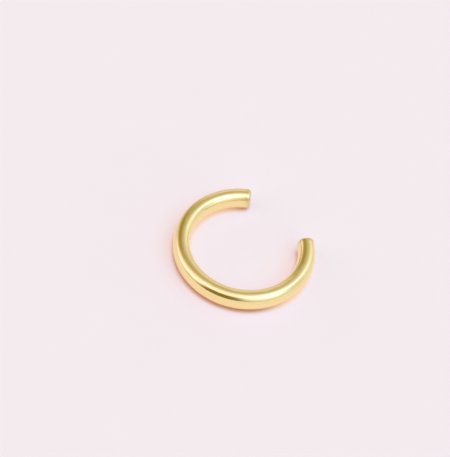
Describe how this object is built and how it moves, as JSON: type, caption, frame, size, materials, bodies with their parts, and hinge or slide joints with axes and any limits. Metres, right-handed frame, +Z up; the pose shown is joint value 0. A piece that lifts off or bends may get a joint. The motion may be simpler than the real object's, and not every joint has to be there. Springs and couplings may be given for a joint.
{
  "type": "ear cuff",
  "caption": "Plain open ear cuff: one smooth oval-section gold wire bent into a C that clips over the rim of an ear, with square-cut, softly rounded ends.",
  "frame": {"origin": "middle of the footprint on the surface that the cuff lies on", "axes": "+Y runs out through the middle of the opening, +X across it, +Z up from the surface that the cuff lies on"},
  "size_m": [0.012, 0.0106, 0.0018],
  "materials": {
    "polished_gold": "brass wire plated in yellow gold and polished, with faint hairline scratches"
  },
  "bodies": {
    "root": {"ear_cuff_band": "polished_gold"}
  },
  "joints": []
}
